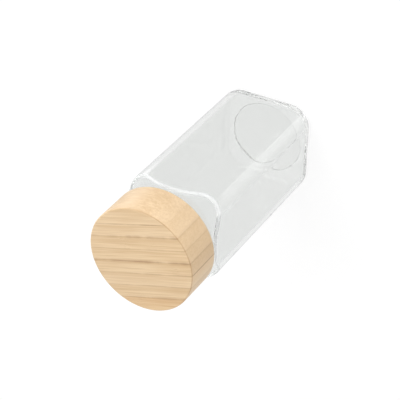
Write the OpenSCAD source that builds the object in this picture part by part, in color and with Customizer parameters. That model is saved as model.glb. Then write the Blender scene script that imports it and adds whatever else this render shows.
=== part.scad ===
// Square glass spice jar with a turned bamboo screw cap.
// It stands on the table at z = 0, with its axis on +Z and its flat sides
// square to X and Y. All sizes are in millimetres.

/* [Glass body] */
// Width of the body across two opposite flat sides
body_w = 43; // [40:0.5:50]
// Radius of the four upright corners
corner_r = 10; // [8:0.5:12]
// Height of the upright corners, from the table to the edge of the shoulder
side_h = 82; // [60:1:110]
// How much higher the shoulder meets the middle of a flat side than a corner
arch_rise = 4; // [2.5:0.5:5.5]
// Radius round the bottom edge of the body
base_edge_r = 3; // [2:0.5:5]
// Thickness of the glass in the sides and the shoulder
glass_t = 2.3; // [1.8:0.1:3]
// Thickness of the glass floor above the standing ring
floor_t = 3.4; // [3:0.2:6]
// Radius between the floor and the sides, inside
floor_edge_r = 2.6; // [1.6:0.2:4]
// Width of the standing ring at the middle of a side, outside the dish
foot_w = 2.5; // [0.5:0.25:3.5]
// Depth of the shallow round dish under the floor, at its middle
dish_depth = 1; // [0.7:0.1:1.6]
// Height of the step round the dish's edge
dish_step = 0.35; // [0.2:0.05:0.6]

/* [Glass neck] */
// Diameter of the neck between the threads
neck_d = 37.6; // [34:0.2:39]
// Height of the lip above the corners' shoulder edge
lip_rise = 19.5; // [18:0.5:24]
// Thickness of the glass in the neck
neck_t = 2.5; // [2:0.1:3.2]
// Radius of the hollow where the neck leaves the shoulder
neck_root_r = 1.5; // [0.8:0.1:2.5]
// Radius round both edges of the lip
lip_edge_r = 0.9; // [0.5:0.1:1]
// How far the screw thread stands out of the neck
thread_h = 1.1; // [0.8:0.1:1.4]

/* [Sifter insert] */
// Thickness of the flange that rests on the lip
flange_t = 0.8; // [0.6:0.1:1.2]
// Distance from the flange's edge in to the neck's outside
flange_inset = 0.5; // [0.4:0.1:1]
// Thickness of the sleeve inside the neck
sleeve_t = 1; // [0.8:0.1:1.4]
// Gap between the sleeve and the glass
sleeve_gap = 0.05; // [0.02:0.01:0.1]
// Depth of the sifter plate's top below the lip
plate_depth = 6; // [4:0.5:8]
// Thickness of the sifter plate
plate_t = 1; // [0.8:0.1:1.5]
// Diameter of each sifting hole
hole_d = 3.2; // [2:0.2:4]
// Distance between one ring of holes and the next
hole_pitch = 5.2; // [4.6:0.1:5.6]

/* [Cap lining and seal] */
// Gap between the neck's thread and the lining's wall
thread_gap = 0.3; // [0.2:0.05:0.6]
// Thickness of the lining's wall
lining_t = 1.1; // [0.8:0.1:1.5]
// Thickness of the lining's top plate
lining_top_t = 1.2; // [1:0.1:1.6]
// Height of the lining's lower edge above the cap's lower edge
lining_lift = 0.5; // [0.3:0.1:1.5]
// Thickness of the seal disc
seal_t = 1; // [0.6:0.1:1.6]
// Gap round the edge of the seal disc
seal_gap = 0.35; // [0.3:0.05:0.8]

/* [Bamboo cap] */
// Height of the cap
cap_h = 18; // [15:0.5:20]
// Thickness of the bamboo round the lining
cap_wall_t = 2.6; // [1.8:0.1:4]
// Thickness of the bamboo above the lining
cap_top_t = 5; // [3:0.5:7]
// Gap between the lining and the bamboo, filled with glue
glue_gap = 0.1; // [0.05:0.05:0.2]
// Radius round the top edge of the cap
cap_edge_r = 0.6; // [0.4:0.1:2]
// Radius round the bottom edge of the cap
cap_foot_r = 0.5; // [0.3:0.1:0.8]
// Thickness of one bamboo strip in the glued block
strip_t = 5.7; // [5:0.1:6.4]
// Distance of the block's middle glue line from the cap's axis
strip_shift = -0.5; // [-1.5:0.1:1.5]
// Direction in which the strips are stacked, from +X towards +Y
stack_angle = 18; // [0:1:90]

/* [Hidden] */
$fn = 96;

// Colour of each strip in the cap's block, from the first to the last
bamboo_pale = [0.94, 0.81, 0.66];
bamboo_mid = [0.91, 0.77, 0.61];
bamboo_deep = [0.86, 0.70, 0.52];
strip_tints = [bamboo_deep, bamboo_mid, bamboo_pale, bamboo_mid,
               bamboo_mid, bamboo_mid, bamboo_pale, bamboo_pale];
strips = len(strip_tints);
// Sifting holes in the first ring, and the rings round the middle hole
ring_holes = 6;
hole_rings = 2;
// How far a cutting solid runs past the faces that it cuts
past = 1;

// The shoulder is part of a sphere. It passes through the edge of each
// corner and, arch_rise higher, through the middle of each flat side.
body_half = body_w / 2;
corner_reach = (body_half - corner_r) * sqrt(2) + corner_r;
dome_drop = (corner_reach * corner_reach - body_half * body_half
             - arch_rise * arch_rise) / (2 * arch_rise);
dome_r = sqrt(corner_reach * corner_reach + dome_drop * dome_drop);
dome_z = side_h - dome_drop;

// The neck, and the height at which it leaves the sphere
neck_r = neck_d / 2;
bore_r = neck_r - neck_t;
lip_z = side_h + lip_rise;
neck_foot_z = dome_z + sqrt(dome_r * dome_r - neck_r * neck_r);

// The dish under the floor is part of a sphere too, above its upright step
dish_r = body_half - base_edge_r - foot_w;
dish_rise = dish_depth - dish_step;
dish_sphere_r = (dish_r * dish_r + dish_rise * dish_rise) / (2 * dish_rise);

// The insert hangs from the lip by its flange
flange_z = lip_z + flange_t;
sleeve_r = bore_r - sleeve_gap;
plate_z = lip_z - plate_depth;

// The cap is built outwards and upwards from what it closes on
lining_bore_r = neck_r + thread_h + thread_gap;
lining_r = lining_bore_r + lining_t;
pocket_r = lining_r + glue_gap;
cap_r = pocket_r + cap_wall_t;
seal_z = flange_z + seal_t;
pocket_z = seal_z + lining_top_t;
cap_z1 = pocket_z + cap_top_t;
cap_z0 = cap_z1 - cap_h;
lining_z0 = cap_z0 + lining_lift;

// A rectangle that stands on y = 0 with its lower corners rounded
module round_foot_profile(w, h, r) {
    translate([-w / 2, r])
        square([w, h - r]);
    translate([-w / 2 + r, 0])
        square([w - 2 * r, r]);
    for (side = [-1, 1])
        translate([side * (w / 2 - r), r])
            circle(r = r);
}

// A square prism with upright corners of radius r and a lower edge of radius e
module round_prism(w, h, r, e) {
    for (turn = [0, 90])
        rotate([0, 0, turn])
            rotate([90, 0, 0])
                linear_extrude(w - 2 * r, center = true)
                    round_foot_profile(w, h, e);
    for (x = [-1, 1], y = [-1, 1])
        translate([x * (w / 2 - r), y * (w / 2 - r), 0])
            rotate_extrude()
                intersection() {
                    round_foot_profile(2 * r, h, e);
                    square([r, h]);
                }
}

// The form that the glass and its hollow share: a square prism under a dome
module jar_form(inset, z0, edge) {
    intersection() {
        translate([0, 0, z0])
            round_prism(body_w - 2 * inset, lip_z - z0, corner_r - inset, edge);
        union() {
            translate([0, 0, dome_z])
                sphere(r = dome_r - inset);
            translate([0, 0, z0 - past])
                cylinder(r = dome_r - inset, h = dome_z - z0 + past);
        }
    }
}

// Outline of the neck's wall with both edges of the lip rounded
module neck_profile() {
    foot = neck_foot_z - glass_t;
    translate([bore_r, foot])
        square([neck_t, lip_z - lip_edge_r - foot]);
    translate([bore_r + lip_edge_r, lip_z - lip_edge_r])
        square([neck_t - 2 * lip_edge_r, lip_edge_r]);
    for (x = [bore_r + lip_edge_r, neck_r - lip_edge_r])
        translate([x, lip_z - lip_edge_r])
            circle(r = lip_edge_r);
}

// Outline of the hollow fillet that touches both the neck and the dome
module neck_root_profile() {
    mid_r = neck_r + neck_root_r;
    mid_z = dome_z + sqrt(pow(dome_r + neck_root_r, 2) - mid_r * mid_r);
    touch_r = mid_r * dome_r / (dome_r + neck_root_r);
    touch_z = dome_z + (mid_z - dome_z) * dome_r / (dome_r + neck_root_r);
    difference() {
        polygon([[bore_r, mid_z], [neck_r, mid_z], [mid_r, mid_z],
                 [touch_r, touch_z], [touch_r, touch_z - glass_t / 2],
                 [bore_r, touch_z - glass_t / 2]]);
        translate([mid_r, mid_z])
            circle(r = neck_root_r);
    }
}

module glass_jar() {
    color([0.84, 0.87, 0.86, 0.5])
        difference() {
            union() {
                jar_form(0, 0, base_edge_r);
                rotate_extrude()
                    neck_profile();
                rotate_extrude()
                    neck_root_profile();
            }
            jar_form(glass_t, floor_t, floor_edge_r);
            translate([0, 0, side_h])
                cylinder(r = bore_r, h = lip_rise + past);
            dish();
        }
}

// The dish is as wide as its step, all the way up
module dish() {
    intersection() {
        translate([0, 0, dish_depth - dish_sphere_r])
            sphere(r = dish_sphere_r);
        translate([0, 0, -past])
            cylinder(r = dish_r, h = dish_depth + 2 * past);
    }
}

module sifter_insert() {
    color([0.93, 0.93, 0.91])
        difference() {
            union() {
                translate([0, 0, lip_z])
                    cylinder(r = neck_r - flange_inset, h = flange_t);
                translate([0, 0, plate_z - plate_t])
                    cylinder(r = sleeve_r, h = plate_depth + plate_t + flange_t);
            }
            translate([0, 0, plate_z])
                cylinder(r = sleeve_r - sleeve_t, h = plate_depth + flange_t + past);
            sifting_holes();
        }
}

// One hole in the middle, then rings of six, twelve and so on
module sifting_holes() {
    translate([0, 0, plate_z - plate_t - past]) {
        cylinder(d = hole_d, h = plate_t + 2 * past);
        for (ring = [1:hole_rings], i = [0:ring * ring_holes - 1])
            rotate([0, 0, 360 * i / (ring * ring_holes)])
                translate([ring * hole_pitch, 0, 0])
                    cylinder(d = hole_d, h = plate_t + 2 * past);
    }
}

module seal_disc() {
    color([0.95, 0.94, 0.90])
        translate([0, 0, flange_z])
            cylinder(r = lining_bore_r - seal_gap, h = seal_t);
}

module cap_lining() {
    color([0.90, 0.89, 0.86])
        difference() {
            translate([0, 0, lining_z0])
                cylinder(r = lining_r, h = pocket_z - lining_z0);
            translate([0, 0, lining_z0 - past])
                cylinder(r = lining_bore_r, h = seal_z - lining_z0 + past);
        }
}

// Half outline of the turned cap, with its pocket for the lining
module cap_profile() {
    difference() {
        union() {
            translate([0, cap_z0])
                square([cap_r - cap_foot_r, cap_h]);
            translate([0, cap_z0 + cap_foot_r])
                square([cap_r, cap_h - cap_foot_r - cap_edge_r]);
            translate([cap_r - cap_foot_r, cap_z0 + cap_foot_r])
                circle(r = cap_foot_r);
            translate([cap_r - cap_edge_r, cap_z1 - cap_edge_r])
                circle(r = cap_edge_r);
        }
        translate([cap_r - cap_edge_r, cap_z1 - cap_edge_r])
            difference() {
                square(cap_edge_r + past);
                circle(r = cap_edge_r);
            }
        translate([-past, cap_z0 - past])
            square([pocket_r + past, pocket_z - cap_z0 + past]);
    }
}

// Distance of glue line i from the axis. The outermost strips reach the rim.
function glue_line(i) =
    i == 0 ? -cap_r - past :
    i == strips ? cap_r + past :
    strip_shift + (i - strips / 2) * strip_t;

// Strip i of the block, turned to the cap's form with the strips beside it
module cap_strip(i) {
    color(strip_tints[i - 1])
        intersection() {
            rotate_extrude()
                cap_profile();
            rotate([0, 0, stack_angle])
                translate([glue_line(i - 1), -cap_r - past, cap_z0 - past])
                    cube([glue_line(i) - glue_line(i - 1),
                          2 * (cap_r + past), cap_h + 2 * past]);
        }
}

glass_jar();
sifter_insert();
seal_disc();
cap_lining();
cap_strip(1);  // cap_strip_1
cap_strip(2);  // cap_strip_2
cap_strip(3);  // cap_strip_3
cap_strip(4);  // cap_strip_4
cap_strip(5);  // cap_strip_5
cap_strip(6);  // cap_strip_6
cap_strip(7);  // cap_strip_7
cap_strip(8);  // cap_strip_8
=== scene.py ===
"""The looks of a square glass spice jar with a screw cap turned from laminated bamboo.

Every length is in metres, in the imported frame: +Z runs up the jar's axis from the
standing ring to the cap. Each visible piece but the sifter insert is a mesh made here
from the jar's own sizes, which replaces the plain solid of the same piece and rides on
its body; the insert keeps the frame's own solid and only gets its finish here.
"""

import logging
import math
from collections.abc import Callable, Iterable, Mapping, Sequence
from dataclasses import dataclass, replace
from enum import Enum
from typing import Any, Union

import bmesh
import bpy
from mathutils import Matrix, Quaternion, Vector

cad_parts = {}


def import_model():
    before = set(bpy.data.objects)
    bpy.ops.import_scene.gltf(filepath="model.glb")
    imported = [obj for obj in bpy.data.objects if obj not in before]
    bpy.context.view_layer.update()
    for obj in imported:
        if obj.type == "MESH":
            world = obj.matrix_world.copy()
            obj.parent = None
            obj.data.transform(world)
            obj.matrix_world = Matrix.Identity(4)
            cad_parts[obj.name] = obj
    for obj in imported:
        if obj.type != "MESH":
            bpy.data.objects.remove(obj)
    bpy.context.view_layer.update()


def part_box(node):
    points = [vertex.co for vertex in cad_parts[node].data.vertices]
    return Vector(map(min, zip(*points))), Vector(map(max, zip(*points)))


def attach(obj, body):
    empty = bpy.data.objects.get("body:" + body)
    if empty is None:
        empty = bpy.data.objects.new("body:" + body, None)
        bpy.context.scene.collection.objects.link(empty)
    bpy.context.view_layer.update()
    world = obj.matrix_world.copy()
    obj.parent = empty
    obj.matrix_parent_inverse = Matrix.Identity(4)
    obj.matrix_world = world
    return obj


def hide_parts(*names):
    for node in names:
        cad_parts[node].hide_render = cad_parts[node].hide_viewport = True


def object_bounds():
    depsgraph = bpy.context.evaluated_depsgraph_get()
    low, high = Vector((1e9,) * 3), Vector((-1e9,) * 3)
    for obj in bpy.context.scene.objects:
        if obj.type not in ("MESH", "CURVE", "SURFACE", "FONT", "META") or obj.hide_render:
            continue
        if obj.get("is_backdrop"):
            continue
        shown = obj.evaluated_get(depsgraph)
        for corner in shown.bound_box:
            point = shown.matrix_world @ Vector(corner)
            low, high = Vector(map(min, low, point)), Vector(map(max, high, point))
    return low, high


LOG = logging.getLogger("spice_jar")
TAU = 2 * math.pi
MM = 0.001
FLAT_ANGLE = math.radians(0.2)
CREASE_ANGLE = math.radians(28)

Point = tuple[float, float, float]
Ring = list[Point]
Color = tuple[float, float, float]
Operand = Union["Value", float]

X_AXIS: Point = (1.0, 0.0, 0.0)
Y_AXIS: Point = (0.0, 1.0, 0.0)
Z_AXIS: Point = (0.0, 0.0, 1.0)


# Shader maths


class Value:
    """A shader socket that takes part in Python arithmetic."""

    def __init__(self, graph: "ShaderGraph", socket: bpy.types.NodeSocket) -> None:
        """Wraps an output socket of a graph's node."""
        self.graph = graph
        self.socket = socket

    def __add__(self, other: Operand) -> "Value":
        """Adds a number or a socket."""
        return self.graph.math("ADD", self, other)

    def __radd__(self, other: Operand) -> "Value":
        """Adds a number or a socket."""
        return self.graph.math("ADD", other, self)

    def __sub__(self, other: Operand) -> "Value":
        """Takes a number or a socket away."""
        return self.graph.math("SUBTRACT", self, other)

    def __rsub__(self, other: Operand) -> "Value":
        """Takes this socket away from a number."""
        return self.graph.math("SUBTRACT", other, self)

    def __mul__(self, other: Operand) -> "Value":
        """Multiplies by a number or a socket."""
        return self.graph.math("MULTIPLY", self, other)

    def __rmul__(self, other: Operand) -> "Value":
        """Multiplies by a number or a socket."""
        return self.graph.math("MULTIPLY", other, self)

    def __truediv__(self, other: Operand) -> "Value":
        """Divides by a number or a socket."""
        return self.graph.math("DIVIDE", self, other)

    def __rtruediv__(self, other: Operand) -> "Value":
        """Divides a number by this socket."""
        return self.graph.math("DIVIDE", other, self)

    def __abs__(self) -> "Value":
        """The size without its sign."""
        return self.graph.math("ABSOLUTE", self)

    def at_least(self, other: Operand) -> "Value":
        """The larger of this and another value."""
        return self.graph.math("MAXIMUM", self, other)


class ShaderGraph:
    """A node tree that is written as expressions."""

    def __init__(self, tree: bpy.types.NodeTree) -> None:
        """Empties the tree and starts anew."""
        self.tree = tree
        tree.nodes.clear()

    def node(
        self,
        kind: str,
        settings: Mapping[str, Any] | None = None,
        inputs: Mapping[Union[int, str], Any] | None = None,
        output: Union[int, str] = 0,
    ) -> Value:
        """Adds one node.

        Args:
            kind: Blender's name of the node's type, without its ShaderNode prefix.
            settings: Properties of the node, which are set before the sockets.
            inputs: What each input socket gets, by name or by number.
            output: The output socket that is handed back.

        Returns:
            The chosen output socket.
        """
        made = self.tree.nodes.new("ShaderNode" + kind)
        for name, setting in (settings or {}).items():
            setattr(made, name, setting)
        for name, value in (inputs or {}).items():
            if isinstance(value, Value):
                self.tree.links.new(value.socket, made.inputs[name])
            else:
                made.inputs[name].default_value = value
        return Value(self, made.outputs[output])

    def finish(self, shaders: Mapping[str, Value], kind: str = "OutputMaterial") -> None:
        """Links the finished shaders to the tree's output node.

        Args:
            shaders: The shaders, by the name of the output's socket.
            kind: The output node's type, without its ShaderNode prefix.
        """
        end = self.tree.nodes.new("ShaderNode" + kind)
        for name, shader in shaders.items():
            self.tree.links.new(shader.socket, end.inputs[name])

    def math(self, operation: str, *operands: Operand) -> Value:
        """Adds a Math node for the operands."""
        return self.node("Math", {"operation": operation}, dict(enumerate(operands)))

    def mix(self, factor: Operand, start: Any, end: Any) -> Value:
        """Mixes two colours, each a socket or four numbers."""
        return self.node("Mix", {"data_type": "RGBA"}, {0: factor, 6: start, 7: end}, 2)

    def ease(self, value: Operand, low: float, high: float) -> Value:
        """Rises smoothly from 0 where the value is low to 1 where it is high."""
        ends = {"Value": value, "From Min": low, "From Max": high}
        return self.node("MapRange", {"interpolation_type": "SMOOTHSTEP"}, ends)

    def noise(self, place: Value, detail: float = 2.0) -> Value:
        """Cloudy noise from 0 to 1, with features one unit of place apart."""
        return self.node("TexNoise", None, {"Vector": place, "Scale": 1.0, "Detail": detail})

    def vector(self, x: Operand, y: Operand, z: Operand) -> Value:
        """A vector from three numbers or sockets."""
        return self.node("CombineXYZ", None, {0: x, 1: y, 2: z})

    def scaled(self, place: Value, scale: float) -> Value:
        """A vector times a number."""
        return self.node("VectorMath", {"operation": "SCALE"}, {0: place, "Scale": scale})

    def along(self, place: Value, direction: Sequence[float]) -> Value:
        """How far a place lies along a direction."""
        inputs = {0: place, 1: direction}
        return self.node("VectorMath", {"operation": "DOT_PRODUCT"}, inputs, "Value")

    def parts(self, place: Value) -> tuple[Value, Value, Value]:
        """How far a place lies along each of the three axes."""
        return tuple(self.along(place, axis) for axis in (X_AXIS, Y_AXIS, Z_AXIS))

    def length(self, *sides: Value) -> Value:
        """The length of the diagonal over two or three sides at right angles."""
        squares = [side * side for side in sides]
        return self.math("SQRT", sum(squares[1:], squares[0]))

    def glow(self, level: Operand, kind: str = "Emission") -> Value:
        """A surface or a sky that shines in a grey, where a level of 1 is white."""
        grey = self.vector(level, level, level)
        return self.node(kind, None, {"Color": grey, "Strength": 1.0})


def new_material(name: str) -> tuple[bpy.types.Material, ShaderGraph]:
    """Makes an empty node material.

    Args:
        name: The material's name.

    Returns:
        The material and its node tree, ready for expressions.
    """
    material = bpy.data.materials.new(name)
    material.use_nodes = True
    return material, ShaderGraph(material.node_tree)


def opaque(color: Color) -> tuple[float, float, float, float]:
    """A colour with full alpha, as sockets want it."""
    return (*color, 1.0)


# Finishes


@dataclass(frozen=True)
class ShoulderEdge:
    """The rounded edge where the sides meet the dome, for the painted highlight that follows
    it.

    A point belongs to it where it lies close to both faces: fully where it is within
    near of each of them, and not at all where it is farther than far from one.
    """

    half: float
    corner_r: float
    dome_r: float
    dome_z: float
    near: float = 0.3 * MM
    far: float = 1.1 * MM

    def mask(self, graph: ShaderGraph, place: Value) -> Value:
        """Is 1 on the rounded edge and 0 away from it.

        Args:
            graph: The material's nodes.
            place: The position on the skin.

        Returns:
            The mask.
        """
        x, y, height = graph.parts(place)
        z = height - self.dome_z
        flat = self.half - self.corner_r
        past_x = (abs(x) - flat).at_least(0.0)
        past_y = (abs(y) - flat).at_least(0.0)
        side = graph.length(past_x, past_y) - self.corner_r
        dome = graph.length(x, y, z) - self.dome_r
        near_side = graph.ease(side, -self.far, -self.near)
        near_dome = graph.ease(dome, -self.far, -self.near)
        upper_half = graph.ease(z, 0.0, self.corner_r)
        return near_side * near_dome * upper_half


@dataclass(frozen=True)
class GlassFinish:
    """Clear glass with slightly wavy faces, and a breath of green in its thickness.

    A painted highlight, a thin pale skin on the shoulder's rounded edge, stands for the light
    it gathers.
    """

    name: str = "clear_glass"
    tint: Color = (0.872, 0.880, 0.872)
    depth_tint: Color = (0.80, 0.90, 0.84)
    depth_density: float = 1.0
    ior: float = 1.5
    roughness: float = 0.02
    ripple_size: float = 7 * MM
    ripple_height: float = 0.06 * MM
    # painted highlight on the shoulder's rounded edge: its share, colour and roughness
    painted_highlight_share: float = 0.5
    painted_highlight_color: Color = (0.90, 0.92, 0.92)
    painted_highlight_roughness: float = 0.5

    def build(self, edge: ShoulderEdge) -> bpy.types.Material:
        """Makes the material.

        Args:
            edge: The rounded edge, which gets the painted highlight and so looks pale.

        Returns:
            The material.
        """
        material, graph = new_material(self.name)
        place = graph.node("TexCoord", output="Object")
        ripple = graph.noise(graph.scaled(place, 1 / self.ripple_size), detail=1.0)
        bump = graph.node(
            "Bump", None, {"Height": ripple, "Distance": self.ripple_height, "Strength": 1.0}
        )
        surface = graph.node(
            "BsdfPrincipled",
            None,
            {
                "Base Color": opaque(self.tint),
                "Roughness": self.roughness,
                "IOR": self.ior,
                "Transmission Weight": 1.0,
                "Normal": bump,
            },
        )
        volume = graph.node(
            "VolumeAbsorption",
            None,
            {"Color": opaque(self.depth_tint), "Density": self.depth_density},
        )
        # painted highlight: a pale matte shader mixed over the glass on the shoulder's rounded
        # edge
        pale = graph.node(
            "BsdfPrincipled",
            None,
            {"Base Color": opaque(self.painted_highlight_color), "Roughness": self.painted_highlight_roughness},
        )
        share = edge.mask(graph, place) * self.painted_highlight_share
        surface = graph.node("MixShader", None, {0: share, 1: surface, 2: pale})
        graph.finish({"Surface": surface, "Volume": volume})
        return material


@dataclass(frozen=True)
class GlueLine:
    """Where two strips of the block meet, and how dark the seam shows.

    The halo is the brown wood beside the glue, 0 where there is none.
    """

    place: float
    on_face: float
    on_side: float
    halo: float = 0.0


@dataclass(frozen=True)
class BambooFinish:
    """Sanded bamboo under a satin lacquer, for one strip of the glued block.

    The grain is solid: it runs along the strip, so that the end face and the long
    sides show streaks, and the cut ends show the dots of the same fibres.
    A size is measured across the fibres and a length along them. The tone goes by
    streaks, hairs, clouds and the side of the cane, in the shares of tone_shares.
    A band holds the two levels between which something sets in, and rim holds the
    radius and the height of the painted shade line along the cap's edge.
    """

    name: str
    pale: Color
    deep: Color
    fibre: Point
    stack: Point
    glue_lines: tuple[GlueLine, ...]
    seed: float
    middle: float
    rim: tuple[float, float]
    knots: tuple[float, ...]
    end_dark: float
    strip_t: float
    dark: Color = (0.46, 0.27, 0.13)
    glue: Color = (0.35, 0.185, 0.09)
    glue_width: float = 0.30 * MM
    halo_width: float = 1.3 * MM
    patch_length: float = 9 * MM
    patch_band: tuple[float, float] = (0.3, 0.62)
    seam_lean: tuple[float, float] = (-8 * MM, 18 * MM)
    streak_size: float = 0.85 * MM
    streak_length: float = 34 * MM
    hair_size: float = 0.30 * MM
    hair_length: float = 17 * MM
    cloud_size: float = 4.5 * MM
    cloud_length: float = 30 * MM
    bundle_size: float = 0.55 * MM
    bundle_length: float = 22 * MM
    tone_shares: tuple[float, float, float, float] = (0.42, 0.32, 0.18, 0.08)
    tone_band: tuple[float, float] = (0.36, 0.62)
    end_band: tuple[float, float] = (0.35, 0.95)
    line_band: tuple[float, float] = (0.60, 0.74)
    core_band: tuple[float, float] = (0.12, 0.45)
    knot_reach: tuple[float, float] = (0.4 * MM, 3.2 * MM)
    knot_size: tuple[float, float] = (2.5 * MM, 1.1 * MM)
    knot_swerve: float = 0.9 * MM
    knot_dark: float = 0.32
    line_dark: float = 0.10
    dot_dark: float = 0.11
    # painted shade: a dark line along the cap's top edge, on one side of the cap only
    rim_shade_width: tuple[float, float] = (0.1 * MM, 0.55 * MM)
    rim_shade_dark: float = 0.7
    rim_shade_side: tuple[float, float] = (0.55, -0.83)
    rim_shade_band: tuple[float, float] = (0.1, 0.8)
    relief: float = 0.02 * MM
    relief_strength: float = 0.5
    roughness: float = 0.46
    roughness_spread: float = 0.14
    lacquer: float = 0.3
    lacquer_roughness: float = 0.25

    def build(self) -> bpy.types.Material:
        """Makes the material.

        Returns:
            The material.
        """
        material, graph = new_material(self.name)
        place = graph.node("TexCoord", output="Object")
        facing = graph.node("TexCoord", output="Normal")
        run = graph.along(place, self.fibre)
        across = graph.along(place, self.stack)
        up = graph.along(place, Z_AXIS)
        ends = graph.ease(abs(graph.along(facing, self.fibre)), *self.end_band)
        knot = self._knot(graph, run, across)
        along = run + self.seed
        bent = across + self.knot_swerve * knot

        def grain(size: float, length: float, detail: float = 2.0) -> Value:
            """Noise that is drawn out along the fibres."""
            stretched = graph.vector(along / length, bent / size, up / (1.5 * size))
            return graph.noise(stretched, detail)

        streak = grain(self.streak_size, self.streak_length, 3.0)
        hair = grain(self.hair_size, self.hair_length)
        cloud = grain(self.cloud_size, self.cloud_length, 1.0)
        dots = self._bundles(graph, along, bent, up)
        side = graph.ease(across - self.middle, -0.5 * self.strip_t, 0.5 * self.strip_t)
        by_streak, by_hair, by_cloud, by_side = self.tone_shares
        tone = by_streak * streak + by_hair * hair + by_cloud * cloud + by_side * side
        tone = graph.ease(tone, *self.tone_band)
        softer = 0.5 + (tone - 0.5) * (1.0 - 0.55 * ends)
        color = graph.mix(softer, opaque(self.pale), opaque(self.deep))
        lines = graph.ease(hair, *self.line_band) * (1.0 - 0.8 * ends)
        stain_and_rim_shade = self.line_dark * lines + self.dot_dark * dots + self.end_dark * ends
        stain_and_rim_shade = stain_and_rim_shade + self.knot_dark * abs(knot) * graph.ease(hair, 0.4, 0.7)
        flat = abs(graph.along(facing, Z_AXIS))
        seam, halo = self._seams(graph, run, across, flat)
        # the real stains, then the painted shade line along the top edge
        stain_and_rim_shade = stain_and_rim_shade.at_least(self._painted_rim_shade(graph, place, cloud)) + halo * (0.5 + 0.8 * streak)
        color = graph.mix(stain_and_rim_shade, color, opaque(self.dark))
        color = graph.mix(seam, color, opaque(self.glue))
        bump = graph.node(
            "Bump",
            None,
            {
                "Height": hair - 0.5 * dots,
                "Distance": self.relief,
                "Strength": self.relief_strength,
            },
        )
        shader = graph.node(
            "BsdfPrincipled",
            None,
            {
                "Base Color": color,
                "Roughness": self.roughness + self.roughness_spread * (hair - 0.5),
                "Coat Weight": self.lacquer,
                "Coat Roughness": self.lacquer_roughness,
                "Normal": bump,
            },
        )
        graph.finish({"Surface": shader})
        return material

    def _bundles(self, graph: ShaderGraph, along: Value, across: Value, up: Value) -> Value:
        """The dark cores of the fibre bundles, as dots on a cut end.

        Args:
            graph: The material's nodes.
            along: The place along the fibres.
            across: The place across the stack, bent round the knots.
            up: The height.

        Returns:
            Is 1 in a core and 0 between the bundles.
        """
        size = self.bundle_size
        place = graph.vector(along / self.bundle_length, across / size, up / size)
        core = graph.node("TexVoronoi", {"feature": "F1"}, {"Vector": place, "Scale": 1.0})
        return 1.0 - graph.ease(core, *self.core_band)

    def _seams(
        self, graph: ShaderGraph, run: Value, across: Value, flat: Value
    ) -> tuple[Value, Value]:
        """The dark line at each face where this strip meets its neighbour.

        Args:
            graph: The material's nodes.
            run: The place along the fibres.
            across: The place across the stack.
            flat: Is 1 on the end face and 0 on the turned side.

        Returns:
            How much of the glue's colour shows, and the brown wood beside it.
        """
        seam = halo = 0.0 * across
        lean = 1.0 - 0.5 * graph.ease(run, *self.seam_lean)
        for line in self.glue_lines:
            off = abs(across - line.place)
            cell = graph.vector(run / self.patch_length, line.place / MM, 0.0)
            patches = lean * graph.ease(graph.noise(cell, 3.0), *self.patch_band)
            near = 1.0 - graph.ease(off, 0.3 * self.glue_width, self.glue_width)
            strength = line.on_side + flat * (line.on_face - line.on_side)
            seam = seam + near * strength * (0.3 + 0.85 * patches)
            if line.halo:
                wide = 1.0 - graph.ease(off, 0.2 * self.halo_width, self.halo_width)
                halo = halo + wide * (line.halo * patches * (0.3 + 0.7 * flat))
        return seam, halo

    def _knot(self, graph: ShaderGraph, run: Value, across: Value) -> Value:
        """How far the fibres swerve round the joints of the cane.

        Args:
            graph: The material's nodes.
            run: The place along the fibres.
            across: The place across the stack.

        Returns:
            The swerve from -1 to 1, and 0 away from the joints.
        """
        total = 0.0 * run
        length, size = self.knot_size
        for spot in self.knots:
            near = 1.0 - graph.ease(abs(run - spot), *self.knot_reach)
            swerve = graph.noise(graph.vector(run / length, across / size, spot / MM))
            total = total + near * (2.0 * swerve - 1.0)
        return total

    def _painted_rim_shade(self, graph: ShaderGraph, place: Value, cloud: Value) -> Value:
        """Painted shade: a brown line where the end face meets the side, on one side of the cap
        only.

        Args:
            graph: The material's nodes.
            place: The position on the skin.
            cloud: The soft noise that breaks the line.

        Returns:
            How much of the painted shade's dark tone shows.
        """
        radius, height = self.rim
        x, y, z = graph.parts(place)
        off = abs(graph.length(x, y) - radius) + abs(z - height)
        line = 1.0 - graph.ease(off, *self.rim_shade_width)
        side_x, side_y = self.rim_shade_side
        low, high = self.rim_shade_band
        # painted shade: the line fades out away from one side of the cap
        lee = graph.ease(x * side_x + y * side_y, low * radius, high * radius)
        return self.rim_shade_dark * line * lee * (0.4 + 0.9 * cloud)


@dataclass(frozen=True)
class PlasticFinish:
    """Moulded polythene: soft sheen, faint flow marks and a little depth."""

    name: str
    color: Color
    roughness: float = 0.38
    roughness_spread: float = 0.12
    depth: float = 0.15
    depth_radius: float = 1 * MM
    mottle_size: float = 4 * MM
    mottle_dark: float = 0.93
    relief: float = 0.02 * MM
    relief_strength: float = 0.6

    def build(self) -> bpy.types.Material:
        """Makes the material.

        Returns:
            The material.
        """
        material, graph = new_material(self.name)
        place = graph.node("TexCoord", output="Object")
        mottle = graph.noise(graph.scaled(place, 1 / self.mottle_size), 3.0)
        darker = tuple(self.mottle_dark * channel for channel in self.color)
        color = graph.mix(graph.ease(mottle, 0.3, 0.7), opaque(self.color), opaque(darker))
        bump = graph.node(
            "Bump",
            None,
            {"Height": mottle, "Distance": self.relief, "Strength": self.relief_strength},
        )
        shader = graph.node(
            "BsdfPrincipled",
            None,
            {
                "Base Color": color,
                "Roughness": self.roughness + self.roughness_spread * (mottle - 0.5),
                "Subsurface Weight": self.depth,
                "Subsurface Radius": (self.depth_radius,) * 3,
                "Normal": bump,
            },
        )
        graph.finish({"Surface": shader})
        return material


# Meshes


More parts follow.
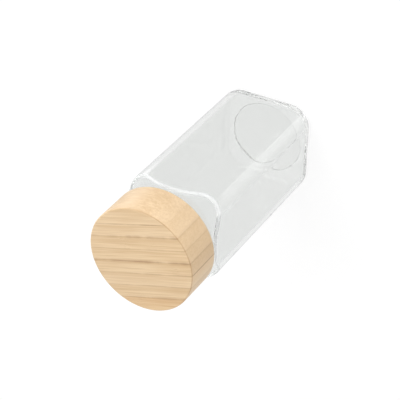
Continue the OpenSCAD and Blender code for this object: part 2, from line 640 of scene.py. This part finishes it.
def arc(
    centre: tuple[float, float], radius: float, start: float, end: float, steps: int
) -> list[tuple[float, float]]:
    """Points along an arc in a plane.

    Args:
        centre: The arc's centre.
        radius: Its radius.
        start: The angle of the first point, in radians.
        end: The angle of the last point.
        steps: The number of stretches between points.

    Returns:
        The points, both ends included.
    """
    turn = (end - start) / steps
    return [
        (
            centre[0] + radius * math.cos(start + i * turn),
            centre[1] + radius * math.sin(start + i * turn),
        )
        for i in range(steps + 1)
    ]


def skin(name: str, rings: Sequence[Ring], first: Point, last: Point) -> bpy.types.Object:
    """Covers a stack of rings with faces and closes both of its ends.

    Args:
        name: The piece's name.
        rings: Rings of equally many points, each anticlockwise seen from above.
        first: The point that closes the first ring.
        last: The point that closes the last ring.

    Returns:
        The smooth mesh object, linked to the scene.
    """
    mesh = bmesh.new()
    rows = [[mesh.verts.new(point) for point in ring] for ring in rings]
    for low, high in zip(rows, rows[1:]):
        for i, point in enumerate(low):
            j = (i + 1) % len(low)
            mesh.faces.new((point, low[j], high[j], high[i]))
    for row, tip, at_start in ((rows[0], first, True), (rows[-1], last, False)):
        hub = mesh.verts.new(tip)
        for i, point in enumerate(row):
            following = row[(i + 1) % len(row)]
            mesh.faces.new((hub, following, point) if at_start else (hub, point, following))
    bmesh.ops.recalc_face_normals(mesh, faces=mesh.faces)
    for face in mesh.faces:
        face.smooth = True
    return link_mesh(name, mesh)


def link_mesh(name: str, mesh: bmesh.types.BMesh) -> bpy.types.Object:
    """Turns a finished bmesh into an object of the scene and frees it.

    Args:
        name: The name of the object and its mesh.
        mesh: The finished bmesh.

    Returns:
        The object.
    """
    data = bpy.data.meshes.new(name)
    mesh.to_mesh(data)
    mesh.free()
    made = bpy.data.objects.new(name, data)
    bpy.context.scene.collection.objects.link(made)
    return made


def lathe(
    profile: Iterable[tuple[float, float]],
    steps: int,
    ridge: Callable[[float, float], float] | None = None,
) -> list[Ring]:
    """Turns a profile round the jar's axis.

    Args:
        profile: Points as radius and height.
        steps: The number of points in each ring.
        ridge: What is added to the radius, by angle and height.

    Returns:
        One ring for each point of the profile.
    """
    rings = []
    for radius, height in profile:
        ring = []
        for i in range(steps):
            angle = TAU * i / steps
            reach = radius + (ridge(angle, height) if ridge else 0.0)
            ring.append((reach * math.cos(angle), reach * math.sin(angle), height))
        rings.append(ring)
    return rings


@dataclass(frozen=True)
class ScrewThread:
    """A rounded right-hand ridge that winds up a round wall.

    The run_out is the share of a turn over which each end sinks into the wall, and
    the flank is the sloping share of half the width.
    """

    start_z: float
    turns: float
    height: float
    pitch: float = 4.23 * MM
    width: float = 1.9 * MM
    run_out: float = 0.09
    flank: float = 0.6

    def rise(self, angle: float, z: float) -> float:
        """How far the ridge stands out of the wall.

        Args:
            angle: The place round the wall, in radians.
            z: The place up the wall.

        Returns:
            The ridge's height there, 0 between its turns.
        """
        best = 0.0
        lap = angle / TAU
        while lap <= self.turns:
            offset = abs(z - self.start_z - lap * self.pitch) / (self.width / 2)
            ends = min(1.0, lap / self.run_out, (self.turns - lap) / self.run_out)
            if offset < 1:
                climb = min(1.0, (1 - offset) / self.flank)
                best = max(best, self.height * ends * climb * climb * (3 - 2 * climb))
            lap += 1.0
        return best


@dataclass(frozen=True)
class Station:
    """A point on the body's outline, with the direction that faces out there."""

    x: float
    y: float
    nx: float
    ny: float

    def inset(self, depth: float, z: float) -> Point:
        """The point that lies depth inside the outline."""
        return (self.x - depth * self.nx, self.y - depth * self.ny, z)

    def on_circle(self, radius: float, z: float) -> Point:
        """The point on a circle round the axis that faces this station."""
        scale = radius / math.hypot(self.x, self.y)
        return (self.x * scale, self.y * scale, z)


def rounded_square(
    half: float, radius: float, corner_steps: int, side_steps: int
) -> list[Station]:
    """The body's outline, anticlockwise seen from above.

    Args:
        half: Half the width across the flats.
        radius: The corners' radius.
        corner_steps: Stretches round each corner.
        side_steps: Stretches along each flat side.

    Returns:
        The outline's stations.
    """
    stations = []
    for quarter in range(4):
        turn = quarter * TAU / 4
        cos, sin = math.cos(turn), math.sin(turn)
        local = [
            (half - radius + radius * math.cos(a), half - radius + radius * math.sin(a), a)
            for a in (TAU / 4 * i / corner_steps for i in range(corner_steps + 1))
        ]
        flat = 2 * (half - radius)
        local += [
            (half - radius - flat * i / side_steps, half, TAU / 4)
            for i in range(1, side_steps)
        ]
        for x, y, facing in local:
            stations.append(
                Station(
                    x * cos - y * sin,
                    x * sin + y * cos,
                    math.cos(facing + turn),
                    math.sin(facing + turn),
                )
            )
    return stations


@dataclass(frozen=True)
class Shell:
    """One skin of the square body, the outside or the hollow, with its domed shoulder."""

    outline: list[Station]
    dome_r: float
    dome_z: float
    edge_r: float
    wall_steps: int = 14
    edge_steps: int = 14
    dome_steps: int = 12
    root_steps: int = 6

    def edge(self, station: Station) -> list[tuple[float, float]]:
        """The arc that rounds the wall into the dome, in a station's upright plane.

        Args:
            station: The place on the outline.

        Returns:
            Points as distance inside the outline and height.
        """
        to_axis = station.x * station.nx + station.y * station.ny
        aside = station.x**2 + station.y**2 - to_axis**2
        cut_r = math.sqrt(self.dome_r**2 - aside) - self.edge_r
        run = to_axis - self.edge_r
        rise = math.sqrt(cut_r**2 - run**2)
        centre = (self.edge_r, self.dome_z + rise)
        end = TAU / 2 - math.atan2(rise, run)
        return arc(centre, self.edge_r, TAU / 2, end, self.edge_steps)

    def walls(self, z0: float) -> list[Ring]:
        """The upright sides and the rounded edge where the dome cuts them.

        Args:
            z0: The height that the rings below have reached.

        Returns:
            Rings from just above z0 to the end of the rounded edge.
        """
        edges = [self.edge(station) for station in self.outline]
        rings = []
        for i in range(1, self.wall_steps):
            share = i / self.wall_steps
            rings.append(
                [
                    station.inset(0.0, z0 + share * (edge[0][1] - z0))
                    for station, edge in zip(self.outline, edges)
                ]
            )
        for i in range(self.edge_steps + 1):
            rings.append([s.inset(*edge[i]) for s, edge in zip(self.outline, edges)])
        return rings

    def root(self, wall_r: float, radius: float) -> tuple[float, float]:
        """The centre of the round between the dome and the neck's wall.

        Args:
            wall_r: The radius of the neck's wall.
            radius: The radius of the round.

        Returns:
            The centre, as its distance from the axis and its height.
        """
        reach = wall_r + radius
        return reach, self.dome_z + math.sqrt((self.dome_r + radius) ** 2 - reach**2)

    def dome(self, wall_r: float, radius: float) -> list[Ring]:
        """The domed shoulder and the round where it turns up into the neck.

        Args:
            wall_r: The radius of the neck's wall.
            radius: The radius of the round.

        Returns:
            Rings from the rounded edge to the foot of the neck's wall.
        """
        centre = self.root(wall_r, radius)
        start = math.atan2(self.dome_z - centre[1], -centre[0]) + TAU
        touch = arc(centre, radius, start, TAU / 2, self.root_steps)
        rings = []
        for i in range(1, self.dome_steps):
            ring = []
            for station in self.outline:
                low = station.inset(*self.edge(station)[-1])
                x, y, _ = mid_point(low, station.on_circle(*touch[0]), i / self.dome_steps)
                ring.append((x, y, self.dome_z + math.sqrt(self.dome_r**2 - x * x - y * y)))
            rings.append(ring)
        return rings + self.circles(touch)

    def circles(self, profile: Iterable[tuple[float, float]]) -> list[Ring]:
        """Round rings on this outline's stations, from points as radius and height."""
        return [[s.on_circle(radius, z) for s in self.outline] for radius, z in profile]

    def insets(self, profile: Iterable[tuple[float, float]]) -> list[Ring]:
        """Rings that follow the outline, from points as inset and height."""
        return [[s.inset(depth, z) for s in self.outline] for depth, z in profile]


@dataclass
class GlassJar:
    """The square glass body with its domed shoulder, threaded neck and dished base.

    The rings of the dish, the foot and the floor are shares of the way outwards.
    """

    finish: GlassFinish = GlassFinish()
    corner_r: float = 10 * MM
    inner_corner_r: float = 7.7 * MM
    side_h: float = 82 * MM
    arch_rise: float = 4 * MM
    base_edge_r: float = 3 * MM
    shoulder_edge_r: float = 3.0 * MM
    inner_edge_r: float = 0.7 * MM
    glass_t: float = 2.3 * MM
    floor_t: float = 3.4 * MM
    floor_edge_r: float = 0.9 * MM
    foot_w: float = 2.5 * MM
    dish_step: float = 0.35 * MM
    dish_depth: float = 1.0 * MM
    dish_round: float = 0.45 * MM
    neck_r: float = 18.8 * MM
    neck_t: float = 2.5 * MM
    neck_root_r: float = 1.5 * MM
    lip_edge_r: float = 0.9 * MM
    thread: ScrewThread = ScrewThread(start_z=93.6 * MM, turns=1.6, height=1.1 * MM)
    corner_steps: int = 28
    side_steps: int = 14
    base_steps: int = 16
    neck_steps: int = 44
    round_steps: int = 6
    dish_rings: tuple[float, ...] = (0.15, 0.35, 0.55, 0.75, 0.9, 0.97, 1.0)
    foot_rings: tuple[float, ...] = (0.15, 0.6)
    floor_rings: tuple[float, ...] = (0.3, 0.6, 0.85)

    def __post_init__(self) -> None:
        """Works out the dome and both skins from the frame's glass solid."""
        low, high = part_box("glass_jar")
        self.half = high.x
        self.lip_z = high.z
        self.base_z = low.z
        reach = (self.half - self.corner_r) * math.sqrt(2) + self.corner_r
        drop = (reach**2 - self.half**2 - self.arch_rise**2) / (2 * self.arch_rise)
        dome_r = math.hypot(reach, drop)
        dome_z = self.side_h - drop
        steps = (self.corner_steps, self.side_steps)
        self.outside = Shell(
            rounded_square(self.half, self.corner_r, *steps),
            dome_r,
            dome_z,
            self.shoulder_edge_r,
        )
        self.hollow = Shell(
            rounded_square(self.half - self.glass_t, self.inner_corner_r, *steps),
            dome_r - self.glass_t,
            dome_z,
            self.inner_edge_r,
        )

    def build(self) -> bpy.types.Object:
        """Makes the jar as one closed skin, outside first and then inside.

        Returns:
            The dressed glass piece.
        """
        outer = self._base() + self.outside.walls(self.base_z + self.base_edge_r)
        outer += self.outside.dome(self.neck_r, self.neck_root_r) + self._neck()
        inner = self._floor() + self.hollow.walls(self.floor_t + self.floor_edge_r)
        inner += self.hollow.dome(self.neck_r - self.neck_t, self.neck_root_r)
        jar = skin(
            "glass_body",
            outer + self._lip() + inner[::-1],
            (0.0, 0.0, self.base_z + self.dish_depth),
            (0.0, 0.0, self.floor_t),
        )
        edge = ShoulderEdge(self.half, self.corner_r, self.outside.dome_r, self.outside.dome_z)
        jar.data.materials.append(self.finish.build(edge))
        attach(jar, "jar")
        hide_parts("glass_jar")
        return jar

    def _base(self) -> list[Ring]:
        """The dish with its stepped edge, the standing ring and the rounded edge.

        Returns:
            Rings from the dish's middle out to the foot of the sides.
        """
        dish_r = self.half - self.base_edge_r - self.foot_w
        bulge = self.dish_depth - self.dish_step
        inner_r = dish_r - self.dish_round
        sphere_r = (inner_r**2 + bulge**2) / (2 * bulge)
        top = self.base_z + self.dish_depth - sphere_r
        profile = [
            (share * inner_r, top + math.sqrt(sphere_r**2 - (share * inner_r) ** 2))
            for share in self.dish_rings
        ]
        for i in range(1, self.round_steps + 1):
            angle = TAU / 4 * i / self.round_steps
            radius = inner_r + (dish_r - inner_r) * math.sin(angle)
            profile.append((radius, self.base_z + self.dish_step * math.cos(angle)))
        rings = self.outside.circles(profile)
        edge = self.base_edge_r
        outer = self.outside.insets([(edge, self.base_z)])[0]
        for share in self.foot_rings:
            rings.append([mid_point(a, b, share) for a, b in zip(rings[-1], outer)])
        return rings + self.outside.insets(
            arc((edge, self.base_z + edge), edge, -TAU / 4, -TAU / 2, self.base_steps)
        )

    def _floor(self) -> list[Ring]:
        """The flat glass floor and the round between it and the sides.

        Returns:
            Rings from the floor's middle out to the foot of the hollow's sides.
        """
        edge = self.floor_edge_r
        centre = (0.0, 0.0, self.floor_t)
        rim = self.hollow.insets([(edge, self.floor_t)])[0]
        rings = [
            [mid_point(centre, point, share) for point in rim] for share in self.floor_rings
        ]
        return rings + self.hollow.insets(
            arc((edge, self.floor_t + edge), edge, -TAU / 4, -TAU / 2, self.base_steps)
        )

    def _neck(self) -> list[Ring]:
        """The neck's outer wall with its screw thread.

        Returns:
            Rings from above the neck's foot to below its lip.
        """
        _, foot = self.outside.root(self.neck_r, self.neck_root_r)
        top = self.lip_z - self.lip_edge_r
        rings = []
        for i in range(1, self.neck_steps):
            z = foot + (top - foot) * i / self.neck_steps
            ring = []
            for station in self.outside.outline:
                angle = math.atan2(station.y, station.x) % TAU
                ring.append(station.on_circle(self.neck_r + self.thread.rise(angle, z), z))
            rings.append(ring)
        return rings

    def _lip(self) -> list[Ring]:
        """The rounded lip.

        Returns:
            Rings from the neck's outside over to its bore.
        """
        bore_r = self.neck_r - self.neck_t
        edge = self.lip_edge_r
        z = self.lip_z - edge
        profile = arc((self.neck_r - edge, z), edge, 0.0, TAU / 4, self.round_steps)
        profile += arc((bore_r + edge, z), edge, TAU / 4, TAU / 2, self.round_steps)
        return self.outside.circles(profile)


def mid_point(start: Point, end: Point, share: float) -> Point:
    """The point that lies a share of the way from start to end."""
    return tuple(a + share * (b - a) for a, b in zip(start, end))


@dataclass
class SifterInsert:
    """The plastic sifter plate that hangs in the neck by its flange."""

    finish: PlasticFinish = PlasticFinish("insert_polythene", (0.90, 0.90, 0.88))

    def build(self) -> bpy.types.Object:
        """Dresses the frame's own solid, whose plate, holes and flange are right.

        Returns:
            The dressed insert.
        """
        insert = bpy.data.objects["sifter_insert"]
        insert.data.materials.clear()
        insert.data.materials.append(self.finish.build())
        return insert


@dataclass
class CapCore:
    """What the bamboo hides: the threaded lining and the loose seal disc."""

    lining_finish: PlasticFinish = PlasticFinish("lining_polypropylene", (0.86, 0.85, 0.81))
    seal_finish: PlasticFinish = PlasticFinish("seal_foam", (0.92, 0.91, 0.87), 0.6)
    wall_t: float = 1.1 * MM
    top_t: float = 1.2 * MM
    rim_r: float = 0.35 * MM
    seal_edge_r: float = 0.25 * MM
    ring_steps: int = 144
    wall_steps: int = 44
    round_steps: int = 4
    thread: ScrewThread = ScrewThread(start_z=93.6 * MM, turns=1.5, height=1.0 * MM)

    def build_lining(self) -> bpy.types.Object:
        """Makes the lining as one closed skin, with the thread inside.

        Returns:
            The dressed lining.
        """
        low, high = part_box("cap_lining")
        outer_r = high.x
        bore_r = outer_r - self.wall_t
        top_z = high.z - self.top_t
        low_z = low.z + self.rim_r
        steps = self.round_steps
        corner = arc((outer_r - self.rim_r, high.z - self.rim_r), self.rim_r, TAU / 4, 0, steps)
        rim = arc((outer_r - self.rim_r, low_z), self.rim_r, 0, -TAU / 4, steps)
        rim += arc((bore_r + self.rim_r, low_z), self.rim_r, -TAU / 4, -TAU / 2, steps)
        rings = lathe([(0.5 * outer_r, high.z)] + corner + rim, self.ring_steps)
        wall = [
            (bore_r, low_z + (top_z - low_z) * i / self.wall_steps)
            for i in range(1, self.wall_steps + 1)
        ]
        thread = self._inner_thread()
        rings += lathe(wall, self.ring_steps, lambda a, z: -thread.rise(a, z))
        rings += lathe([(0.97 * bore_r, top_z), (0.5 * bore_r, top_z)], self.ring_steps)
        lining = skin("cap_lining_threaded", rings, (0, 0, high.z), (0, 0, top_z))
        lining.data.materials.append(self.lining_finish.build())
        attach(lining, "cap")
        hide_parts("cap_lining")
        return lining

    def _inner_thread(self) -> ScrewThread:
        """The lining's thread, which runs midway between the turns of the neck's."""
        middle = self.thread.start_z + self.thread.pitch / 2
        return replace(self.thread, start_z=middle)

    def build_seal(self) -> bpy.types.Object:
        """Makes the seal disc with its rounded edges.

        Returns:
            The dressed seal disc.
        """
        low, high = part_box("seal_disc")
        radius = high.x
        edge = self.seal_edge_r
        profile = [(0.4 * radius, low.z), (0.8 * radius, low.z)]
        profile += arc((radius - edge, low.z + edge), edge, -TAU / 4, 0, self.round_steps)
        profile += arc((radius - edge, high.z - edge), edge, 0, TAU / 4, self.round_steps)
        profile += [(0.5 * radius, high.z)]
        seal = skin(
            "seal_wad", lathe(profile, self.ring_steps), (0, 0, low.z), (0, 0, high.z)
        )
        seal.data.materials.append(self.seal_finish.build())
        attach(seal, "seal")
        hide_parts("seal_disc")
        return seal


class Tint(Enum):
    """How light a bamboo strip is: its pale tone, its deep tone and its slot."""

    PALE = ((0.865, 0.655, 0.420), (0.735, 0.520, 0.300), "bamboo_pale")
    MID = ((0.855, 0.640, 0.400), (0.715, 0.500, 0.280), "bamboo_mid")
    DEEP = ((0.850, 0.610, 0.355), (0.705, 0.458, 0.236), "bamboo_deep")


@dataclass(frozen=True)
class Strip:
    """What sets one bamboo strip apart: its tint, its cane joints, its cut ends."""

    tint: Tint
    knots: tuple[float, ...] = ()
    end_dark: float = 0.04


@dataclass
class BambooCap:
    """The cap's bamboo: a block of glued strips, turned round and hollowed.

    A seam is how dark the glue shows on the end face, how dark on the turned side,
    and how brown the wood beside it is.
    """

    strip_t: float = 5.7 * MM
    strip_shift: float = -0.5 * MM
    stack_angle: float = math.radians(18)
    edge_r: float = 0.6 * MM
    foot_r: float = 0.5 * MM
    wall_t: float = 2.6 * MM
    top_t: float = 5 * MM
    ring_steps: int = 288
    edge_steps: int = 8
    foot_steps: int = 5
    seed_step: float = 0.37
    # where the painted shade line along the top edge sits, as a share of edge_r
    rim_shade_share: float = 0.4
    strips: tuple[Strip, ...] = (
        Strip(Tint.DEEP, (7.5 * MM,)),
        Strip(Tint.MID),
        Strip(Tint.PALE),
        Strip(Tint.MID, (-16 * MM,), 0.16),
        Strip(Tint.MID),
        Strip(Tint.MID, (-7.5 * MM, 5.2 * MM)),
        Strip(Tint.PALE, (), 0.0),
        Strip(Tint.PALE),
    )
    seams: tuple[tuple[float, float, float], ...] = (
        (0.35, 0.2, 0.2),
        (0.25, 0.25, 0.1),
        (0.3, 1.0, 0.1),
        (0.6, 0.35, 0.6),
        (0.15, 0.12, 0.1),
        (0.25, 0.1, 0.5),
        (0.5, 0.08, 0.0),
    )

    def __post_init__(self) -> None:
        """Takes the cap's place from the frame's strips."""
        boxes = [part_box(f"cap_strip_{i + 1}") for i in range(len(self.strips))]
        self.low_z = min(low.z for low, _ in boxes)
        self.high_z = max(high.z for _, high in boxes)
        self.radius = max(max(high.x, high.y) for _, high in boxes)
        cos, sin = math.cos(self.stack_angle), math.sin(self.stack_angle)
        self.stack = (cos, sin, 0.0)
        self.fibre = (-sin, cos, 0.0)
        middle = len(self.strips) // 2
        self.lines = [
            self.strip_shift + (i - middle) * self.strip_t for i in range(1, len(self.strips))
        ]

    def build(self) -> list[bpy.types.Object]:
        """Makes every strip of the cap.

        Returns:
            The strips, in the order in which they are stacked.
        """
        return [self._strip(i) for i in range(len(self.strips))]

    def _strip(self, index: int) -> bpy.types.Object:
        """Cuts one strip out of the turned form and dresses it.

        Args:
            index: The strip's place in the stack, from 0.

        Returns:
            The dressed strip.
        """
        lines = [-2 * self.radius, *self.lines, 2 * self.radius]
        strip = skin(
            f"bamboo_strip_{index + 1}",
            lathe(self._profile(), self.ring_steps),
            (0, 0, self.high_z),
            (0, 0, self.high_z - self.top_t),
        )
        cut_between(strip, self.stack, lines[index], lines[index + 1])
        kind = self.strips[index]
        pale, deep, slot = kind.tint.value
        glue = [GlueLine(place, *seam) for place, seam in zip(self.lines, self.seams)]
        rim = self.rim_shade_share * self.edge_r
        finish = BambooFinish(
            name=f"bamboo_{index + 1}",
            pale=pale,
            deep=deep,
            fibre=self.fibre,
            stack=self.stack,
            glue_lines=tuple(glue[max(index - 1, 0) : index + 1]),
            seed=self.seed_step * (index + 1),
            middle=self.lines[0] + (index - 0.5) * self.strip_t,
            rim=(self.radius - rim, self.high_z - rim),
            knots=kind.knots,
            end_dark=kind.end_dark,
            strip_t=self.strip_t,
        )
        strip.data.materials.append(finish.build())
        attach(strip, "cap")
        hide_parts(f"cap_strip_{index + 1}")
        return strip

    def _profile(self) -> list[tuple[float, float]]:
        """Half the outline of the turned cap.

        Returns:
            Points as radius and height, from the top round to the pocket.
        """
        pocket_r = self.radius - self.wall_t
        pocket_z = self.high_z - self.top_t
        edge, foot = self.edge_r, self.foot_r
        profile = [(0.5 * self.radius, self.high_z)]
        profile += arc(
            (self.radius - edge, self.high_z - edge), edge, TAU / 4, 0, self.edge_steps
        )
        profile += [(self.radius, self.low_z + 0.5 * (self.high_z - self.low_z))]
        profile += arc(
            (self.radius - foot, self.low_z + foot), foot, 0, -TAU / 4, self.foot_steps
        )
        return profile + [
            (pocket_r, self.low_z),
            (pocket_r, pocket_z),
            (0.5 * pocket_r, pocket_z),
        ]


def cut_between(
    piece: bpy.types.Object, direction: Sequence[float], start: float, end: float
) -> None:
    """Keeps the slice of a closed mesh between two planes.

    Args:
        piece: The object, which gets the sliced mesh.
        direction: The planes' normal.
        start: The first plane's distance from the origin.
        end: The second plane's distance.
    """
    mesh = bmesh.new()
    mesh.from_mesh(piece.data)
    normal = Vector(direction)
    for distance, keep_beyond in ((start, True), (end, False)):
        cut = bmesh.ops.bisect_plane(
            mesh,
            geom=[*mesh.verts, *mesh.edges, *mesh.faces],
            plane_co=normal * distance,
            plane_no=normal,
            clear_inner=keep_beyond,
            clear_outer=not keep_beyond,
        )
        rim = [item for item in cut["geom_cut"] if isinstance(item, bmesh.types.BMEdge)]
        if rim:
            bmesh.ops.triangle_fill(mesh, use_beauty=True, edges=rim, normal=normal)
    bmesh.ops.dissolve_limit(
        mesh,
        angle_limit=FLAT_ANGLE,
        verts=mesh.verts,
        edges=mesh.edges,
        delimit={"NORMAL"},
    )
    bmesh.ops.recalc_face_normals(mesh, faces=mesh.faces)
    for face in mesh.faces:
        face.smooth = True
    for edge in mesh.edges:
        edge.smooth = len(edge.link_faces) == 2 and edge.calc_face_angle() < CREASE_ANGLE
    mesh.to_mesh(piece.data)
    mesh.free()


# The stage


@dataclass(frozen=True)
class PhotoCamera:
    """The photograph's view, fitted to the jar's outlines.

    The jar lies on its side there, so the camera is rolled round its own axis.
    """

    azimuth: float = math.radians(54.68)
    elevation: float = math.radians(46.14)
    roll: float = math.radians(-134.48)
    distance: float = 0.6383
    target: Point = (0.0003, 0.0005, 0.0604)
    lens: float = 135.58
    clip_start: float = 0.01
    clip_end: float = 20.0

    def build(self) -> bpy.types.Object:
        """Makes the camera and hands the view to it.

        Returns:
            The camera.
        """
        back = Vector(
            (
                math.sin(self.azimuth) * math.cos(self.elevation),
                -math.cos(self.azimuth) * math.cos(self.elevation),
                math.sin(self.elevation),
            )
        )
        camera = bpy.data.objects.new("photo_camera", bpy.data.cameras.new("photo_camera"))
        bpy.context.scene.collection.objects.link(camera)
        camera.data.lens = self.lens
        camera.data.clip_start = self.clip_start
        camera.data.clip_end = self.clip_end
        camera.location = Vector(self.target) + back * self.distance
        aim_back(camera, back, self.roll)
        bpy.context.scene.camera = camera
        return camera


def aim_back(made: bpy.types.Object, back: Vector, roll: float = 0.0) -> None:
    """Turns a camera or a lamp so that a direction lies straight behind it.

    Args:
        made: The camera or lamp.
        back: The direction from what it looks at towards it.
        roll: The turn about its own axis, in radians.
    """
    made.rotation_mode = "QUATERNION"
    aim = (-back).to_track_quat("-Z", "Y")
    made.rotation_quaternion = aim @ Quaternion(Z_AXIS, roll)


@dataclass(frozen=True)
class SoftLight:
    """One soft box, placed by its direction from the jar.

    One that isn't mirrored lights the jar but leaves no image in its gloss.
    """

    name: str
    direction: Point
    distance: float
    size: float
    power: float
    mirrored: bool = True

    def build(self, target: Vector) -> bpy.types.Object:
        """Makes the lamp.

        Args:
            target: The place that it is aimed at.

        Returns:
            The lamp.
        """
        lamp = bpy.data.lights.new(self.name, "AREA")
        lamp.energy = self.power
        lamp.size = self.size
        made = bpy.data.objects.new(self.name, lamp)
        bpy.context.scene.collection.objects.link(made)
        back = Vector(self.direction).normalized()
        made.location = target + back * self.distance
        aim_back(made, back)
        made.visible_glossy = self.mirrored
        return made


@dataclass
class Studio:
    """The white surroundings: a floor, an even sky and three soft boxes.

    The camera, and what shows through glass, sees the white. The jar's gloss mirrors
    a dimmer floor near the jar that is bright far off, with two painted patches of light
    on it, seen only in reflections: a card, which is a fan from a point beside the jar,
    and a round pool.
    """

    sky: float = 0.6
    sky_band: tuple[float, float] = (0.12, 0.6)
    floor_half: float = 6.0
    floor_white: float = 0.8
    shown_matte: float = 0.2
    shown_glow: float = 0.845
    mirrored: float = 0.7
    mirrored_far: float = 1.5
    far_band: tuple[float, float] = (0.14, 0.2)
    card_glow: float = 1.1
    card_place: tuple[float, float] = (16.5 * MM, -15.4 * MM)
    card_sides: tuple[float, float] = (math.radians(-46), math.radians(-108))
    card_fade: float = math.radians(40)
    card_reach: tuple[float, float] = (93 * MM, 111.6 * MM)
    card_edge: float = 0.4
    card_edge_band: tuple[float, float] = (math.radians(9), math.radians(5))
    card_edge_fade: float = math.radians(4)
    pool: float = 1.5
    pool_place: tuple[float, float] = (60 * MM, 120 * MM)
    pool_core: float = 20 * MM
    pool_r: float = 50 * MM
    light_bounces: int = 64
    lights: tuple[SoftLight, ...] = (
        SoftLight("key_box", (0.88, 0.22, 0.42), 1.5, 0.8, 10.0, mirrored=False),
        SoftLight("fill_box", (0.16, -0.89, 0.42), 1.5, 1.0, 3.8),
        SoftLight("top_box", (0.37, 0.40, 0.84), 1.5, 0.55, 4.5),
    )

    def build(self) -> None:
        """Makes the sky, the floor and the lamps."""
        self._sky()
        self._floor()
        low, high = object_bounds()
        for light in self.lights:
            light.build((low + high) / 2)
        cycles = bpy.context.scene.cycles
        cycles.max_bounces = self.light_bounces
        cycles.glossy_bounces = self.light_bounces
        cycles.transmission_bounces = self.light_bounces

    def _rays(self, graph: ShaderGraph) -> tuple[Value, Value, Value]:
        """Tells the kinds of rays apart.

        Args:
            graph: The nodes of the sky or the floor.

        Returns:
            Three values that are 1 for rays from the camera, for rays through glass
            and for mirrored rays.
        """
        camera = graph.node("LightPath", output="Is Camera Ray")
        through = graph.node("LightPath", output="Is Transmission Ray")
        gloss = graph.node("LightPath", output="Is Glossy Ray")
        return camera, through, gloss * (1.0 - through)

    def _sky(self) -> None:
        """Lights the jar evenly, shows as white, and is brighter low down in a mirror."""
        world = bpy.data.worlds.new("studio_sky")
        bpy.context.scene.world = world
        world.use_nodes = True
        graph = ShaderGraph(world.node_tree)
        camera, through, gloss = self._rays(graph)
        up = graph.along(graph.node("TexCoord", output="Generated"), Z_AXIS)
        high = graph.ease(up, *self.sky_band)
        level = self.sky + camera.at_least(through) * (1.0 - self.sky)
        mirror = self.mirrored_far - self.sky + high * (self.mirrored - self.mirrored_far)
        shader = graph.glow(level + gloss * mirror, "Background")
        graph.finish({"Surface": shader}, "OutputWorld")

    def _floor(self) -> None:
        """A white floor that keeps a faint shadow."""
        half = self.floor_half
        corners = [(-half, -half), (half, -half), (half, half), (-half, half)]
        mesh = bmesh.new()
        mesh.faces.new([mesh.verts.new((x, y, 0.0)) for x, y in corners])
        floor = link_mesh("studio_floor", mesh)
        material, graph = new_material("studio_white")
        camera, through, gloss = self._rays(graph)
        matte = graph.node("BsdfDiffuse", None, {"Color": opaque((self.floor_white,) * 3)})
        pale = graph.node("BsdfDiffuse", None, {"Color": opaque((self.shown_matte,) * 3)})
        shown = graph.node("AddShader", None, {0: pale, 1: graph.glow(self.shown_glow)})
        mirror = graph.glow(self._mirror_level(graph))
        shader = graph.node("MixShader", None, {0: camera, 1: matte, 2: shown})
        shader = graph.node("MixShader", None, {0: through, 1: shader, 2: graph.glow(1.0)})
        shader = graph.node("MixShader", None, {0: gloss, 1: shader, 2: mirror})
        graph.finish({"Surface": shader})
        floor.data.materials.append(material)
        floor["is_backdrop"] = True

    def _mirror_level(self, graph: ShaderGraph) -> Value:
        """How bright the floor is in a mirror, its painted patches of light included.

        Args:
            graph: The floor's nodes.

        Returns:
            The level, where 1 is white.
        """
        place = graph.node("TexCoord", output="Object")
        x, y, _ = graph.parts(place)
        reach = graph.length(x, y)
        # painted light on the floor, seen only in gloss: a round pool and a fan-shaped card
        pool_x, pool_y = self.pool_place
        from_pool = graph.length(x - pool_x, y - pool_y)
        pool = 1.0 - graph.ease(from_pool, self.pool_core, self.pool_r)
        card_x, card_y = self.card_place
        side = graph.math("ARCTAN2", y - card_y, x - card_x)
        first, last = self.card_sides
        edge_start, edge_end = self.card_edge_band
        edge = graph.ease(side, first - edge_start, first - edge_end)
        card_glow = graph.ease(side, last, last + self.card_fade)
        card_glow = card_glow * (1.0 - graph.ease(side, first - self.card_edge_fade, first))
        card_glow = card_glow * (1.0 + edge * self.card_edge)
        card_glow = card_glow * (1.0 - graph.ease(reach, *self.card_reach))
        far = graph.ease(reach, *self.far_band)
        level = self.mirrored + far * (self.mirrored_far - self.mirrored)
        return level + card_glow * self.card_glow + pool * self.pool


def main() -> None:
    """Builds the jar's pieces in order and dresses them."""
    logging.basicConfig(level=logging.INFO, format="%(name)s: %(message)s")
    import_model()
    bpy.context.scene.view_settings.view_transform = "Standard"
    PhotoCamera().build()
    core = CapCore()
    pieces = [GlassJar().build(), SifterInsert().build()]
    pieces += [core.build_seal(), core.build_lining()]
    pieces += BambooCap().build()
    for piece in pieces:
        LOG.info("%s: %d faces", piece.name, len(piece.data.polygons))
    Studio().build()


if __name__ == "__main__":
    main()
